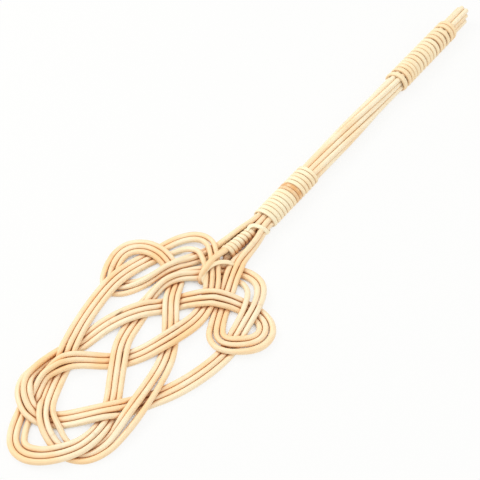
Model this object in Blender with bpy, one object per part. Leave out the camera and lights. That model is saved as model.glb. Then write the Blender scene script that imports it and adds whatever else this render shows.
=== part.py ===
"""Rattan carpet beater: a flat woven head of three canes, with their ends bound into a handle.

Metres, +Z up. The beater lies flat, its handle along +X and its head towards -X.
"""
import math

import bmesh
import bpy
import numpy as np

# The canes and the split strips that bind them.
CANE_DIAMETER = 0.0045
CANE_GAP = 0.0005
CANE_SIDES = 6
STRIP_WIDTH = 0.0039
GRIP_STRIP_WIDTH = 0.0050
STRIP_THICKNESS = 0.0019
STRIP_GAP = 0.0004
CANE_RADIUS = CANE_DIAMETER / 2
CONTACT = CANE_DIAMETER + CANE_GAP
PITCH = CONTACT + CANE_GAP / 4
ROW_RISE = PITCH * math.sqrt(3) / 2

# Overall length, and the square of the setting-out plan that places are shares of.
LENGTH = 0.653
PLAN_SQUARE = 0.100

# Handle stations along the beater: the legs meet at the plan's upper edge, and the neck's binding,
# its two filler canes and the twist follow from there. The grip is set back from the butt.
LEGS_MEET_SHARE = 3.04
LEGS_MEET = LEGS_MEET_SHARE * PLAN_SQUARE
NECK_LEAD = 0.006
NECK_LENGTH = 0.067
NECK_START = LEGS_MEET + NECK_LEAD
NECK_END = NECK_START + NECK_LENGTH
FILLER_LEAD = 0.012
FILLER_START = LEGS_MEET + FILLER_LEAD
BUTT_BARE = 0.0305
GRIP_LENGTH = 0.0985
GRIP_END = LENGTH - BUTT_BARE
GRIP_START = GRIP_END - GRIP_LENGTH
TWIST_BEFORE_NECK_END = 0.016
TWIST_PAST_GRIP_START = 0.026
TWIST_START = NECK_END - TWIST_BEFORE_NECK_END
TWIST_END = GRIP_START + TWIST_PAST_GRIP_START
HANDLE_TWIST = math.radians(72)
FLAT_DEPTH = 0.0005
HANDLE_STEP = 0.015
LAST_STEP_SHARE = 1.2

# Windings: whole turns, points in a turn, and the tie cane's coil below the fork.
NECK_TURNS = 14
GRIP_TURNS = 16
TURN_POINTS = 14
FORK_START_SHARE = 2.60
FORK_END_SHARE = 2.88
FORK_START = FORK_START_SHARE * PLAN_SQUARE
FORK_END = FORK_END_SHARE * PLAN_SQUARE
FORK_TURNS = 6
FORK_POINTS = 13
FORK_GAP = 0.0008

# Heights: the weave's middle plane, and how the canes are eased over and under each other.
WEAVE_HEIGHT = CANE_RADIUS + PITCH / 2
SAMPLE_STEP = 0.002
STIFF_SAMPLES = 5.0
PULL_SHARE = 0.02
EASING_ROUNDS = 260
PUSH_ROUNDS = 5
LAST_PUSHES = 160
SIDE_DROP_SHARE = 0.2
CHORD_SAG = 0.00020
LONGEST_CHORD = 0.015

ROUTE_SHARES = (
    (2.620, 0.155, -1.0, 0.60, 0.60),
    (2.500, 0.195, -1.0, 0.80, 0.80),
    (2.400, 0.235, -1.0, 0.85, 0.85),
    (2.280, 0.280, 0.3, 0.80, 0.80),
    (2.160, 0.325, 1.0, 0.65, 0.65),
    (2.030, 0.375, 1.0, 0.55, 0.55),
    (1.910, 0.425, 0.3, 0.60, 0.60),
    (1.810, 0.485, -0.7, 0.85, 0.85),
    (1.730, 0.555, -1.0, 1.20, 1.20),
    (1.695, 0.620, -1.0, 1.35, 1.35),
    (1.715, 0.685, -0.6, 1.30, 1.30),
    (1.780, 0.740, 0.0, 1.10, 1.10),
    (1.870, 0.780, 0.0, 1.00, 1.00),
    (1.970, 0.797, 0.2, 1.00, 1.00),
    (2.060, 0.775, 0.5, 1.00, 1.00),
    (2.130, 0.715, 0.8, 1.00, 1.00),
    (2.175, 0.635, 1.0, 1.00, 1.00),
    (2.195, 0.545, 1.0, 1.00, 1.00),
    (2.193, 0.460, 0.6, 1.00, 1.00),
    (2.175, 0.375, -0.8, 1.00, 1.00),
    (2.145, 0.295, -1.0, 1.00, 1.00),
    (2.100, 0.235, -1.0, 1.00, 1.00),
    (2.035, 0.190, -0.5, 1.00, 1.00),
    (1.960, 0.150, 0.4, 1.00, 1.00),
    (1.870, 0.093, 1.0, 1.00, 1.00),
    (1.780, 0.018, 0.7, 1.00, 1.00),
    (1.690, -0.055, -0.3, 1.00, 1.00),
    (1.610, -0.120, -1.0, 1.00, 1.00),
    (1.530, -0.175, -1.0, 1.00, 1.00),
    (1.440, -0.220, -0.3, 1.10, 1.00),
    (1.310, -0.265, 0.5, 1.20, 1.00),
    (1.160, -0.298, 1.0, 1.35, 1.00),
    (1.010, -0.323, 1.0, 1.40, 1.00),
    (0.860, -0.345, 0.8, 1.30, 0.92),
    (0.710, -0.360, 0.2, 1.15, 0.92),
    (0.580, -0.363, 0.0, 1.05, 0.95),
    (0.480, -0.338, -0.3, 1.00, 1.00),
    (0.400, -0.290, -0.8, 1.00, 1.00),
    (0.345, -0.220, -1.0, 1.00, 1.10),
    (0.318, -0.140, -1.0, 1.00, 1.20),
    (0.320, -0.055, -0.2, 1.00, 1.30),
    (0.338, 0.030, 0.7, 1.00, 1.50),
    (0.370, 0.110, 1.0, 1.00, 1.50),
    (0.425, 0.188, 1.0, 1.00, 1.20),
    (0.505, 0.258, 0.5, 0.97, 1.00),
    (0.608, 0.317, -0.3, 0.95, 1.00),
    (0.710, 0.367, -1.0, 1.00, 1.00),
    (0.810, 0.405, -1.0, 1.00, 1.00),
    (0.910, 0.446, 0.2, 1.00, 1.00),
    (1.010, 0.486, 1.0, 1.00, 1.00),
    (1.120, 0.526, 1.0, 1.00, 1.00),
    (1.250, 0.570, 0.6, 1.00, 1.00),
    (1.390, 0.603, 0.4, 1.00, 1.00),
    (1.540, 0.626, 0.7, 1.00, 1.00),
    (1.690, 0.636, 1.0, 1.00, 1.00),
    (1.840, 0.628, 1.0, 1.00, 1.00),
    (1.980, 0.607, 0.0, 1.00, 1.00),
    (2.110, 0.578, -1.0, 1.00, 1.05),
    (2.220, 0.548, -1.0, 1.00, 1.20),
    (2.330, 0.510, -0.2, 1.00, 1.50),
    (2.430, 0.455, 0.2, 1.05, 1.80),
    (2.505, 0.385, 0.5, 1.10, 2.20),
    (2.540, 0.310, 0.7, 1.10, 2.40),
    (2.535, 0.240, 1.0, 1.10, 2.20),
    (2.490, 0.170, 1.0, 1.10, 1.80),
    (2.425, 0.095, 1.0, 1.10, 1.40),
    (2.350, 0.025, 1.0, 1.05, 1.10),
    (2.265, -0.048, 1.0, 1.05, 1.05),
    (2.175, -0.105, 0.0, 1.00, 1.00),
    (2.080, -0.143, -1.0, 1.00, 1.00),
    (1.970, -0.165, -1.0, 1.05, 1.00),
    (1.850, -0.168, 0.2, 1.10, 1.00),
    (1.740, -0.155, 1.0, 1.10, 1.00),
    (1.630, -0.132, 1.0, 1.10, 1.00),
    (1.520, -0.098, 0.8, 1.10, 1.00),
    (1.410, -0.055, 0.0, 1.05, 1.00),
    (1.300, 0.003, -0.9, 1.00, 1.00),
    (1.200, 0.075, -1.0, 1.00, 1.00),
    (1.110, 0.160, -0.5, 1.00, 1.00),
    (1.030, 0.253, 0.3, 1.00, 1.00),
    (0.950, 0.340, 0.9, 1.00, 1.00),
    (0.870, 0.400, 1.0, 1.00, 1.00),
    (0.780, 0.437, 1.0, 0.85, 0.80),
    (0.680, 0.460, 0.3, 0.62, 0.52),
    (0.580, 0.446, -0.4, 0.75, 0.65),
    (0.490, 0.415, -1.0, 0.92, 1.00),
    (0.390, 0.385, -1.0, 1.10, 1.00),
    (0.300, 0.348, -0.5, 1.20, 1.00),
    (0.210, 0.303, 0.0, 1.30, 1.00),
    (0.135, 0.245, 0.0, 1.30, 1.00),
    (0.095, 0.175, 0.0, 1.10, 1.00),
    (0.093, 0.100, 0.0, 1.10, 1.00),
    (0.120, 0.030, 0.2, 1.10, 1.00),
    (0.170, -0.042, 0.6, 1.00, 1.00),
    (0.235, -0.106, 1.0, 1.00, 1.00),
    (0.315, -0.165, 1.0, 1.00, 1.00),
    (0.410, -0.212, 0.8, 1.00, 1.00),
    (0.510, -0.232, 0.2, 1.00, 1.00),
    (0.610, -0.233, -0.4, 1.00, 0.92),
    (0.705, -0.213, -1.0, 1.00, 0.90),
    (0.790, -0.174, -1.0, 1.00, 1.00),
    (0.880, -0.126, -0.3, 1.00, 1.00),
    (0.970, -0.066, 0.4, 1.00, 1.00),
    (1.070, 0.003, 1.0, 1.00, 1.05),
    (1.170, 0.072, 1.0, 1.00, 1.10),
    (1.270, 0.138, 0.8, 1.00, 1.10),
    (1.370, 0.184, 0.0, 1.00, 1.00),
    (1.480, 0.216, -0.9, 1.00, 1.00),
    (1.590, 0.243, -1.0, 1.00, 1.00),
    (1.700, 0.270, -0.8, 1.00, 1.00),
    (1.800, 0.288, 0.0, 0.65, 0.65),
    (1.900, 0.290, 0.6, 0.55, 0.55),
    (2.000, 0.275, 1.0, 0.55, 0.55),
    (2.090, 0.240, 1.0, 0.65, 0.65),
    (2.170, 0.190, 0.8, 0.80, 0.80),
    (2.240, 0.125, -0.4, 1.00, 1.00),
    (2.305, 0.062, -1.0, 1.00, 1.00),
    (2.370, 0.000, -1.0, 1.00, 1.00),
    (2.435, -0.075, -1.0, 1.00, 1.10),
    (2.485, -0.155, -1.0, 1.10, 1.30),
    (2.513, -0.235, -1.0, 1.15, 1.50),
    (2.513, -0.315, -0.4, 1.15, 1.80),
    (2.480, -0.385, 0.1, 1.15, 1.80),
    (2.405, -0.443, 0.7, 1.10, 1.60),
    (2.305, -0.485, 1.0, 1.05, 1.40),
    (2.195, -0.510, 1.0, 1.05, 1.10),
    (2.080, -0.530, 0.7, 1.05, 1.00),
    (1.980, -0.548, -0.3, 1.05, 1.00),
    (1.880, -0.568, -1.0, 1.05, 1.00),
    (1.780, -0.576, -1.0, 1.00, 1.00),
    (1.670, -0.568, -0.5, 1.00, 1.00),
    (1.550, -0.550, 0.0, 1.00, 1.00),
    (1.430, -0.520, -0.2, 1.00, 1.00),
    (1.310, -0.478, -0.8, 1.00, 1.00),
    (1.200, -0.430, -1.0, 1.00, 1.00),
    (1.100, -0.378, -1.0, 1.00, 1.00),
    (1.010, -0.326, -1.0, 1.00, 1.00),
    (0.920, -0.275, -0.2, 1.05, 1.00),
    (0.835, -0.220, 0.9, 1.10, 1.00),
    (0.755, -0.160, 1.0, 1.15, 1.00),
    (0.675, -0.092, 1.0, 1.15, 1.00),
    (0.600, -0.026, 0.3, 1.10, 1.00),
    (0.530, 0.040, -0.6, 1.05, 1.00),
    (0.465, 0.110, -1.0, 1.00, 1.00),
    (0.410, 0.180, -1.0, 1.00, 1.00),
    (0.383, 0.255, -0.3, 1.00, 1.00),
    (0.385, 0.335, 0.9, 1.05, 0.88),
    (0.418, 0.415, 1.0, 1.05, 0.92),
    (0.475, 0.490, 1.0, 1.00, 1.00),
    (0.560, 0.548, 0.6, 0.75, 0.75),
    (0.670, 0.562, 0.0, 0.55, 0.55),
    (0.780, 0.562, -0.4, 0.55, 0.55),
    (0.885, 0.540, -1.0, 0.58, 0.58),
    (1.000, 0.492, -1.0, 0.90, 0.90),
    (1.110, 0.450, -1.0, 1.00, 1.00),
    (1.220, 0.426, -0.4, 1.00, 1.00),
    (1.330, 0.400, 0.3, 1.00, 1.00),
    (1.440, 0.360, 1.0, 1.00, 1.00),
    (1.550, 0.307, 1.0, 1.00, 1.00),
    (1.650, 0.250, 1.0, 1.00, 1.00),
    (1.740, 0.190, 0.3, 1.00, 1.00),
    (1.820, 0.138, -0.8, 1.00, 1.00),
    (1.900, 0.088, -1.0, 1.05, 1.05),
    (1.975, 0.028, -0.2, 1.10, 1.10),
    (2.045, -0.053, 0.7, 1.15, 1.15),
    (2.110, -0.138, 1.0, 1.15, 1.15),
    (2.170, -0.230, 1.0, 1.15, 1.15),
    (2.220, -0.325, 0.3, 1.10, 1.10),
    (2.253, -0.420, -0.8, 1.05, 1.05),
    (2.270, -0.510, -1.0, 1.05, 1.05),
    (2.267, -0.595, -0.8, 1.05, 1.05),
    (2.235, -0.670, -0.2, 1.15, 1.05),
    (2.170, -0.722, 0.0, 1.25, 1.05),
    (2.085, -0.733, 0.2, 1.25, 1.05),
    (2.000, -0.700, 0.6, 1.25, 1.05),
    (1.925, -0.635, 1.0, 1.25, 1.05),
    (1.870, -0.563, 1.0, 1.25, 1.05),
    (1.848, -0.488, 0.8, 1.30, 1.10),
    (1.877, -0.418, 0.2, 1.25, 1.10),
    (1.945, -0.365, -0.3, 1.10, 1.05),
    (2.030, -0.318, -1.0, 1.00, 1.00),
    (2.120, -0.275, -1.0, 1.00, 1.00),
    (2.210, -0.235, -0.8, 1.00, 1.00),
    (2.310, -0.193, 0.2, 1.00, 1.00),
    (2.410, -0.153, 1.0, 1.00, 1.00),
    (2.510, -0.120, 1.0, 1.00, 1.00),
    (2.620, -0.096, 1.0, 0.80, 0.80),
)

# The cane bent double round the crossing below the fork: along, across, height in cane pitches.
TIE_SHARES = (
    (3.04, 0.000, 2.50),
    (2.98, 0.000, 2.36),
    (2.90, 0.004, 2.20),
    (2.76, 0.022, 2.10),
    (2.64, 0.032, 2.35),
    (2.54, 0.045, 2.85),
    (2.44, 0.056, 3.30),
    (2.34, 0.056, 3.45),
    (2.26, 0.044, 3.42),
    (2.20, 0.026, 3.00),
    (2.160, 0.012, 2.25),
    (2.150, 0.004, 1.40),
    (2.180, -0.003, 0.62),
    (2.26, -0.006, -0.40),
    (2.34, 0.000, -0.60),
    (2.44, 0.010, -0.30),
    (2.54, 0.020, 0.95),
    (2.64, 0.022, 1.35),
    (2.76, 0.018, 1.35),
    (2.90, 0.003, 1.15),
    (2.98, 0.000, 0.98),
    (3.04, 0.000, 0.90),
)

# Handle slots in cane pitches, across and up. Each leg fills one side, the tie cane the middle column.
SLOT_SHARES = {
    "left_leg": ((1.0, -1.0), (1.0, 1.0), (1.5, 0.0)),
    "right_leg": ((-1.0, -1.0), (-1.0, 1.0), (-1.5, 0.0)),
    "tie": ((0.0, 1.0), (0.0, -1.0)),
    "filler": ((0.5, 0.0), (-0.5, 0.0)),
}
# Places of the legs beside the fork's coil: along in plan squares, across in cane pitches.
LEG_SHARES = {
    "left_leg": ((2.86, 1.873), (2.86, 1.932), (2.86, 2.380)),
    "right_leg": ((2.86, -1.717), (2.86, -1.795), (2.86, -2.224)),
}
# Cut ends at the butt, as shares of the plan square short of the full length.
BUTT_SHARES = {
    "left_leg": (0.010, 0.0, 0.005),
    "right_leg": (0.075, 0.050, 0.095),
    "tie": (0.020, 0.045),
    "filler": (0.015, 0.035),
}
STRIP_SECTION_SHARES = ((-0.50, -0.5), (0.50, -0.5), (0.32, 0.5), (-0.32, 0.5))


def smooth_step(value, start, end):
    share = min(max((value - start) / (end - start), 0.0), 1.0)
    return share * share * (3.0 - 2.0 * share)


def outer_height(turn):
    """Half the height of the ten canes when the bundle is turned by an angle."""
    rises = []
    for slots in SLOT_SHARES.values():
        for across, up in slots:
            rises.append(across * PITCH * math.sin(turn) + up * ROW_RISE * math.cos(turn))
    return max(rises) + CANE_RADIUS


WRAP_OUT = STRIP_GAP + STRIP_THICKNESS
NECK_HEIGHT = outer_height(0.0) + WRAP_OUT
GRIP_HEIGHT = outer_height(HANDLE_TWIST) + WRAP_OUT - FLAT_DEPTH


def slot_place(along, slot):
    """Where a slot of the bundle runs at one station, with the twist of the handle."""
    step = smooth_step(along, TWIST_START, TWIST_END)
    turn = HANDLE_TWIST * step
    height = NECK_HEIGHT + (GRIP_HEIGHT - NECK_HEIGHT) * step
    across = slot[0] * PITCH
    up = slot[1] * ROW_RISE
    y = across * math.cos(turn) - up * math.sin(turn)
    z = across * math.sin(turn) + up * math.cos(turn)
    return np.array((along, y, height + z))


def catmull(points, step, axes=2):
    """A smooth line through the points, sampled at about every step along its first axes."""
    points = np.asarray(points, dtype=float)
    padded = np.vstack((2 * points[0] - points[1], points, 2 * points[-1] - points[-2]))
    out = []
    for index in range(1, len(padded) - 2):
        p0, p1, p2, p3 = padded[index - 1:index + 3]
        chord = np.linalg.norm((p2 - p1)[:axes])
        count = max(int(round(chord / step)), 1)
        for k in range(count):
            t = k / count
            a = 2 * p1
            b = (p2 - p0) * t
            c = (2 * p0 - 5 * p1 + 4 * p2 - p3) * t * t
            d = (3 * p1 - p0 - 3 * p2 + p3) * t ** 3
            out.append((a + b + c + d) / 2)
    out.append(padded[-2])
    return np.array(out)


def even_samples(line, step, axes=2):
    """The line again with samples at even distances along its first axes."""
    lengths = np.linalg.norm(np.diff(line[:, :axes], axis=0), axis=1)
    travel = np.concatenate(([0.0], np.cumsum(lengths)))
    count = int(round(travel[-1] / step))
    marks = np.linspace(0.0, travel[-1], count + 1)
    columns = [np.interp(marks, travel, line[:, k]) for k in range(line.shape[1])]
    return np.stack(columns, axis=1)


def knot_lines():
    """Plan and wished height of the left, middle and right cane, with their legs."""
    route = np.array(ROUTE_SHARES)
    middle = route[:, :2] * PLAN_SQUARE
    tangent = np.gradient(middle, axis=0)
    tangent /= np.linalg.norm(tangent, axis=1)[:, None]
    left = np.stack((-tangent[:, 1], tangent[:, 0]), axis=1)
    lines = []
    for side, column in ((1.0, 3), (0.0, 3), (-1.0, 4)):
        place = middle + side * left * (route[:, column] * PITCH)[:, None]
        crown = SIDE_DROP_SHARE * abs(side)
        height = WEAVE_HEIGHT + (route[:, 2] - crown) * PITCH / 2
        lines.append(np.column_stack((place, height)))
    result = []
    for index, line in enumerate(lines):
        start = leg_points("left_leg", index)
        end = leg_points("right_leg", index)
        whole = np.vstack((start[::-1], line, end))
        result.append(even_samples(catmull(whole, SAMPLE_STEP / 2), SAMPLE_STEP))
    return result


def leg_points(leg, index):
    """Places of one cane of a leg from the knot to where the legs meet."""
    slot = SLOT_SHARES[leg][index]
    along, across = LEG_SHARES[leg][index]
    meet = slot_place(LEGS_MEET, slot)
    half = np.array((along * PLAN_SQUARE, across * PITCH, meet[2]))
    before = slot_place(LEGS_MEET - PITCH, slot)
    return np.vstack((half, before, meet))


def tie_line():
    rows = np.array(TIE_SHARES)
    line = np.column_stack((rows[:, :2] * PLAN_SQUARE, rows[:, 2] * PITCH))
    line[0] = slot_place(LEGS_MEET, SLOT_SHARES["tie"][0])
    line[-1] = slot_place(LEGS_MEET, SLOT_SHARES["tie"][1])
    return even_samples(catmull(line, SAMPLE_STEP / 2, 3), SAMPLE_STEP, 3)


def contact_pairs(lines):
    """Pairs of samples near enough in plan to touch, with which one lies above."""
    plan = np.vstack([line[:, :2] for line in lines])
    wish = np.concatenate([line[:, 2] for line in lines])
    owner = np.concatenate([np.full(len(line), k) for k, line in enumerate(lines)])
    order = np.arange(len(plan))
    near = 8
    first, second, need = [], [], []
    for i in range(len(plan)):
        gap = np.linalg.norm(plan[i + 1:] - plan[i], axis=1)
        hit = np.nonzero(gap < CONTACT)[0] + i + 1
        far = (owner[hit] != owner[i]) | (order[hit] - i > near)
        for j in hit[far]:
            first.append(i)
            second.append(j)
            need.append(math.sqrt(CONTACT ** 2 - gap[j - i - 1] ** 2))
    first = np.array(first)
    second = np.array(second)
    need = np.array(need)
    sign = group_signs(first, second, wish[first] - wish[second], owner)
    return first, second, need * sign, sign


def same_canes(owner, pair, other):
    return owner[pair[0]] == owner[other[0]] and owner[pair[1]] == owner[other[1]]


def group_signs(first, second, difference, owner):
    """One sign for each patch of touching pairs, from the sum of the wished differences."""
    index = {}
    for k, pair in enumerate(zip(first.tolist(), second.tolist())):
        index[pair] = k
    sign = np.zeros(len(first))
    for pair, k in index.items():
        if sign[k]:
            continue
        members = []
        stack = [pair]
        seen = {pair}
        while stack:
            i, j = stack.pop()
            members.append(index[(i, j)])
            for di in (-1, 0, 1):
                for dj in (-1, 0, 1):
                    other = (i + di, j + dj)
                    if other in index and other not in seen and same_canes(owner, pair, other):
                        seen.add(other)
                        stack.append(other)
        total = float(np.sum(difference[members]))
        sign[members] = 1.0 if total >= 0 else -1.0
    return sign


def push_apart(height, first, second, wanted, sign, fixed, share):
    """Lift and lower touching samples until they clear, and keep all above the floor."""
    lack = np.maximum(wanted * sign - (height[first] - height[second]) * sign, 0.0) * share
    up = np.zeros(len(height))
    down = np.zeros(len(height))
    np.maximum.at(up, np.where(sign > 0, first, second), lack)
    np.maximum.at(down, np.where(sign > 0, second, first), lack)
    moved = height + up - down
    moved = np.maximum(moved, CANE_RADIUS)
    return np.where(fixed, height, moved), float(lack.max() / share)


def solve_heights(lines):
    first, second, wanted, sign = contact_pairs(lines)
    wish = np.concatenate([line[:, 2] for line in lines])
    fixed = np.concatenate([line[:, 0] > LEGS_MEET - PITCH / 2 for line in lines])
    starts = np.cumsum([0] + [len(line) for line in lines])
    easing = []
    for line in lines:
        count = len(line)
        bend = np.zeros((count, count))
        rows = np.arange(1, count - 1)
        bend[rows, rows - 1] = 1.0
        bend[rows, rows] = -2.0
        bend[rows, rows + 1] = 1.0
        easing.append(bend.T @ bend)
    height = wish.copy()
    for stage in range(4):
        stiff = (STIFF_SAMPLES / (1 + stage / 2)) ** 4
        solved = [np.linalg.inv(np.eye(len(e)) + stiff * e) for e in easing]
        for _ in range(EASING_ROUNDS // 4):
            pulled = height + PULL_SHARE * (wish - height)
            for k, matrix in enumerate(solved):
                part = slice(starts[k], starts[k + 1])
                pulled[part] = matrix @ pulled[part]
            height = np.where(fixed, height, pulled)
            for _ in range(PUSH_ROUNDS):
                height, lack = push_apart(height, first, second, wanted, sign, fixed, 0.5)
    for _ in range(LAST_PUSHES):
        height, lack = push_apart(height, first, second, wanted, sign, fixed, 0.5)
    print("knot: %d contact pairs, least clearance short by %.3f mm" % (len(first), lack * 1000))
    return [np.column_stack((line[:, :2], height[starts[k]:starts[k + 1]])) for k, line in enumerate(lines)]


def thinned(line):
    """Fewer points where the cane runs straight."""
    keep = [0]
    k = 2
    while k < len(line):
        start = line[keep[-1]]
        chord = line[k] - start
        length = np.linalg.norm(chord)
        between = line[keep[-1] + 1:k] - start
        sag = np.linalg.norm(np.cross(between, chord / length), axis=1).max()
        if sag > CHORD_SAG or length > LONGEST_CHORD:
            keep.append(k - 1)
        k += 1
    keep.append(len(line) - 1)
    return line[keep]


def handle_run(slot, start, short):
    """A cane of the handle from one station to its cut end at the butt."""
    end = LENGTH - short * PLAN_SQUARE
    stations = [start]
    while True:
        inside = TWIST_START - HANDLE_STEP < stations[-1] < TWIST_END
        step = HANDLE_STEP if inside else HANDLE_STEP * 2
        if stations[-1] + step * LAST_STEP_SHARE > end:
            break
        stations.append(stations[-1] + step)
    stations.append(end)
    return np.array([slot_place(along, slot) for along in stations])


def frames(points):
    """A tangent, a side and a normal at each point, carried along without twist."""
    tangent = np.gradient(points, axis=0)
    tangent /= np.linalg.norm(tangent, axis=1)[:, None]
    side = np.cross(tangent[0], (0.0, 0.0, 1.0))
    sides = []
    for direction in tangent:
        side = side - direction * np.dot(side, direction)
        side = side / np.linalg.norm(side)
        sides.append(side)
    sides = np.array(sides)
    return tangent, sides, np.cross(sides, tangent)


def swept(name, rings, material):
    """One closed body from rings of points with a flat cap at each end."""
    mesh = bpy.data.meshes.new(name)
    bm = bmesh.new()
    grid = [[bm.verts.new(tuple(place)) for place in ring] for ring in rings]
    count = len(rings[0])
    for a, b in zip(grid[:-1], grid[1:]):
        for k in range(count):
            bm.faces.new((a[k], a[(k + 1) % count], b[(k + 1) % count], b[k]))
    bm.faces.new(tuple(reversed(grid[0])))
    bm.faces.new(tuple(grid[-1]))
    bmesh.ops.recalc_face_normals(bm, faces=bm.faces)
    bm.to_mesh(mesh)
    bm.free()
    mesh.materials.append(material)
    item = bpy.data.objects.new(name, mesh)
    bpy.context.collection.objects.link(item)
    return item


def shifted(points):
    """From the setting-out plan to a part whose length is centred on the origin."""
    return points - np.array((LENGTH / 2, 0.0, 0.0))


def cane(name, points, material):
    points = shifted(points)
    _, sides, normals = frames(points)
    rings = []
    for place, side, normal in zip(points, sides, normals):
        ring = []
        for k in range(CANE_SIDES):
            angle = 2 * math.pi * (k + 0.5) / CANE_SIDES
            ring.append(place + CANE_RADIUS * (math.cos(angle) * side + math.sin(angle) * normal))
        rings.append(ring)
    swept(name, rings, material)
    return points


def winding(name, centres, start, end, turns, per_turn, width, slack, material):
    """A split strip wound in one run round the canes, drawn tight over their outer side."""
    places, normals = [], []
    total = turns * per_turn
    for k in range(total + 1):
        angle = 2 * math.pi * k / per_turn
        along = start + (end - start) * k / total
        outward = np.array((math.cos(angle), math.sin(angle)))
        support = max((np.dot(outward, c) for c in centres(along)))
        held = [c for c in centres(along) if np.dot(outward, c) > support - CANE_GAP / 100]
        middle = sum(held) / len(held)
        reach = CANE_RADIUS + slack + STRIP_THICKNESS / 2
        place = middle + outward * reach
        places.append((along, place[0], place[1]))
        normals.append((0.0, outward[0], outward[1]))
    places = np.array(places)
    normals = np.array(normals)
    first = places[0] - (places[1] - places[0]) / np.linalg.norm(places[1] - places[0]) * width / 2
    last = places[-1] + (places[-1] - places[-2]) / np.linalg.norm(places[-1] - places[-2]) * width / 2
    places = np.vstack((first, places, last))
    normals = np.vstack((normals[0], normals, normals[-1]))
    tangent = np.gradient(places, axis=0)
    tangent /= np.linalg.norm(tangent, axis=1)[:, None]
    rings = []
    for place, outward, direction in zip(shifted(places), normals, tangent):
        out = outward - direction * np.dot(outward, direction)
        out /= np.linalg.norm(out)
        side = np.cross(direction, out)
        ring = []
        for wide, thick in STRIP_SECTION_SHARES:
            point = place + side * wide * width + out * thick * STRIP_THICKNESS
            ring.append(point)
        rings.append(ring)
    item = swept(name, rings, material)
    cut_flat(item)
    report_self_gap(name, rings, per_turn)
    return item


def cut_flat(item):
    """Cut a winding flat where it would reach below the floor."""
    bm = bmesh.new()
    bm.from_mesh(item.data)
    geometry = bm.verts[:] + bm.edges[:] + bm.faces[:]
    bmesh.ops.bisect_plane(bm, geom=geometry, plane_co=(0, 0, 0), plane_no=(0, 0, -1), clear_outer=True)
    rim = [edge for edge in bm.edges if edge.is_boundary]
    bmesh.ops.holes_fill(bm, edges=rim, sides=0)
    bmesh.ops.recalc_face_normals(bm, faces=bm.faces)
    bm.to_mesh(item.data)
    bm.free()


def report_self_gap(name, rings, per_turn):
    rings = np.array(rings)
    least = STRIP_WIDTH
    for k in range(len(rings)):
        ahead = rings[k + per_turn // 2 + 1:k + per_turn + per_turn // 2]
        if len(ahead):
            away = np.linalg.norm(ahead.reshape(-1, 1, 3) - rings[k][None, :, :], axis=2)
            least = min(least, float(away.min()))
    print("%s: least gap between turns %.3f mm" % (name, least * 1000))


def surface(name, colour, roughness):
    material = bpy.data.materials.new(name)
    material.use_nodes = True
    shader = material.node_tree.nodes["Principled BSDF"]
    shader.inputs["Base Color"].default_value = (*colour, 1.0)
    shader.inputs["Roughness"].default_value = roughness
    return material


def centre_on_origin():
    """Stand the part on the origin's plane, with the middle of its outline over the origin."""
    places = np.array([v.co for item in bpy.data.objects for v in item.data.vertices])
    low, high = places.min(axis=0), places.max(axis=0)
    move = np.array((-(low[0] + high[0]) / 2, -(low[1] + high[1]) / 2, -low[2]))
    for item in bpy.data.objects:
        for vertex in item.data.vertices:
            vertex.co = np.array(vertex.co) + move
    print("moved by %.5f %.5f %.5f, overall %.4f %.4f %.4f" % (*move, *(high - low)))


CANE_COLOUR = (0.78, 0.55, 0.29)
STRIP_COLOUR = (0.84, 0.66, 0.40)
KNOT_NAMES = ("knot_cane_left", "knot_cane_middle", "knot_cane_right")


def main():
    for item in list(bpy.data.objects):
        bpy.data.objects.remove(item, do_unlink=True)
    lines = solve_heights(knot_lines() + [tie_line()])
    tie = lines.pop()
    for index, (name, line) in enumerate(zip(KNOT_NAMES, lines)):
        runs = []
        for leg in ("left_leg", "right_leg"):
            start = LEGS_MEET + PITCH * 1.5
            runs.append(handle_run(SLOT_SHARES[leg][index], start, BUTT_SHARES[leg][index]))
        whole = np.vstack((runs[0][::-1], thinned(line), runs[1]))
        cane(name, whole, surface(name + "_rattan", CANE_COLOUR, 0.5))
    runs = []
    for k in range(2):
        start = LEGS_MEET + PITCH * 1.5
        runs.append(handle_run(SLOT_SHARES["tie"][k], start, BUTT_SHARES["tie"][k]))
    whole = np.vstack((runs[0][::-1], thinned(tie), runs[1]))
    cane("tie_cane", whole, surface("tie_cane_rattan", CANE_COLOUR, 0.5))
    for k, name in enumerate(("filler_cane_left", "filler_cane_right")):
        run = handle_run(SLOT_SHARES["filler"][k], FILLER_START, BUTT_SHARES["filler"][k])
        cane(name, run, surface(name + "_rattan", CANE_COLOUR, 0.5))

    turn = int(np.argmin(tie[:, 0]))
    arms = (tie[:turn][::-1], tie[turn:])

    def tie_centres(along):
        found = []
        for arm in arms:
            found.append(np.array([np.interp(along, arm[:, 0], arm[:, k]) for k in (1, 2)]))
        return found

    def bundle_centres(along):
        return [slot_place(along, slot)[1:] for slots in SLOT_SHARES.values() for slot in slots]

    strip = surface("split_rattan_strip", STRIP_COLOUR, 0.45)
    winding("fork_wrap", tie_centres, FORK_START, FORK_END, FORK_TURNS, FORK_POINTS, STRIP_WIDTH, FORK_GAP, strip)
    strip = surface("neck_strip", STRIP_COLOUR, 0.45)
    winding("neck_wrap", bundle_centres, NECK_START, NECK_END, NECK_TURNS, TURN_POINTS,
            STRIP_WIDTH, STRIP_GAP, strip)
    strip = surface("grip_strip", STRIP_COLOUR, 0.45)
    winding("grip_wrap", bundle_centres, GRIP_START, GRIP_END, GRIP_TURNS, TURN_POINTS,
            GRIP_STRIP_WIDTH, STRIP_GAP, strip)
    centre_on_origin()
    for item in bpy.data.objects:
        print(item.name, len(item.data.vertices), sum(len(p.vertices) - 2 for p in item.data.polygons))


main()
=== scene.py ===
"""Rattan carpet beater: round peeled canes woven into a flat head, bound with split strips."""
import math

import bmesh
import bpy
import numpy as np
from bpy.props import FloatProperty, FloatVectorProperty, IntProperty, PointerProperty
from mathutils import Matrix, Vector, kdtree


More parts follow.
